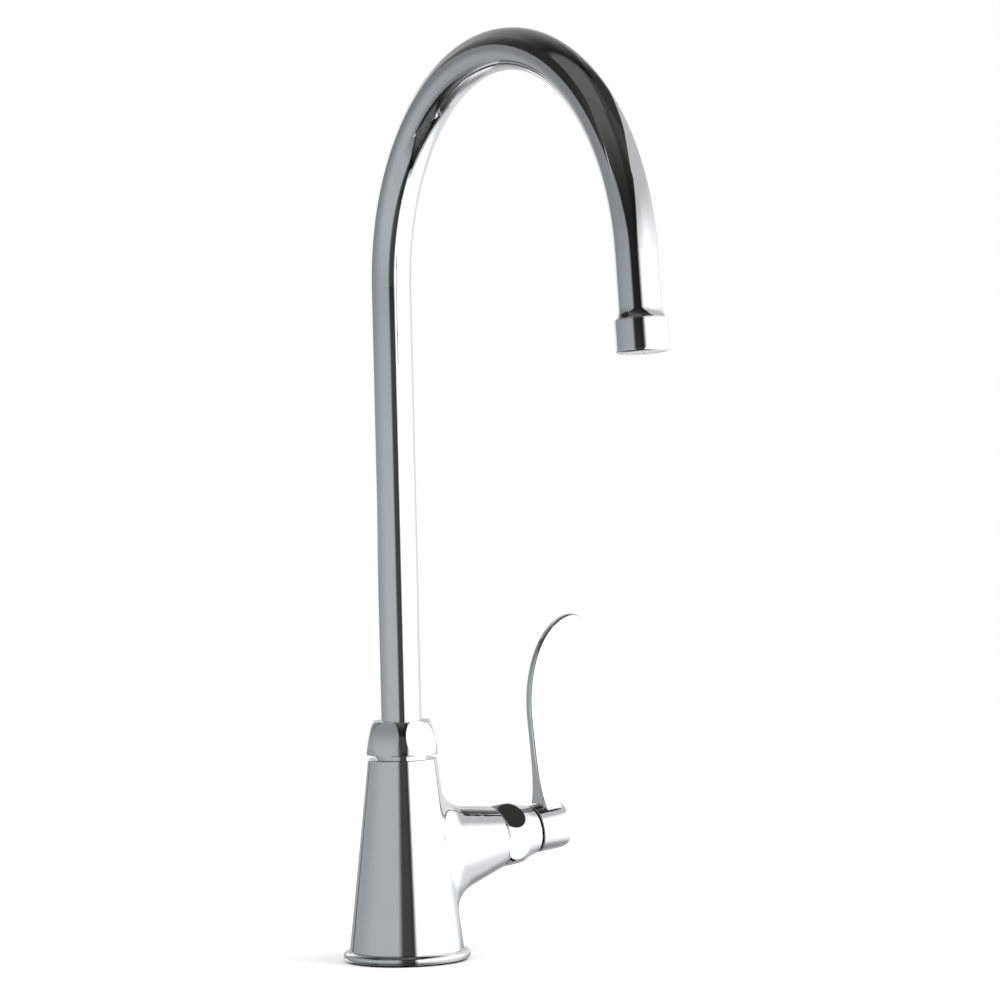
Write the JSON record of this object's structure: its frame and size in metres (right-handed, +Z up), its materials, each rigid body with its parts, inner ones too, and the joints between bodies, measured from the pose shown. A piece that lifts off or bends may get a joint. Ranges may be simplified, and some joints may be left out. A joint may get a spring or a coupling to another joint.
{
  "type": "gooseneck faucet",
  "caption": "Deck-mounted faucet with a conical body, a swivelling gooseneck spout, an aerator and a quarter-turn side valve with an upright wrist-blade handle.",
  "frame": {"origin": "centre of the base on the deck, where the supply thread's axis meets the underside", "axes": "+Z up along the body and the spout's column; the spout reaches towards -Y; the valve and its handle are on +X"},
  "size_m": [0.1352, 0.2532, 0.4312],
  "materials": {
    "chrome": "polished chrome plate on brass",
    "brass": "turned brass",
    "steel": "stainless steel",
    "plastic": "moulded acetal",
    "rubber": "black nitrile rubber",
    "ceramic": "lapped white alumina ceramic"
  },
  "bodies": {
    "base": {"body": "chrome", "base_ring": "chrome", "base_gasket": "rubber", "spout_nut": "chrome", "bonnet_nut": "chrome", "cartridge_housing": "brass", "cartridge_o_ring": "rubber", "seat_seal": "rubber", "fixed_disc": "ceramic"},
    "spout": {"spout_tube": "chrome", "spout_spigot": "brass", "spout_o_rings": "rubber", "spout_upper_washer": "plastic", "spout_lower_washer": "plastic", "spout_outlet": "chrome", "aerator_housing": "chrome", "aerator_washer": "rubber", "aerator_screen": "steel", "aerator_insert": "plastic", "flow_straightener": "plastic"},
    "lever": {"handle": "chrome", "handle_screw": "steel", "index_cap": "chrome", "valve_stem": "brass", "stem_o_rings": "rubber", "stem_washer": "plastic", "retaining_clip": "steel", "moving_disc": "ceramic"}
  },
  "joints": [
    {"name": "spout_swivel", "type": "hinge", "parent": "base", "child": "spout", "pos_m": [0, 0, 0.1], "axis": [0, 0, 1], "continuous": true},
    {"name": "handle_turn", "type": "hinge", "parent": "base", "child": "lever", "pos_m": [0, 0, 0.0488], "axis": [0.9945, 0, 0.1045], "range_deg": [0, 90]}
  ]
}
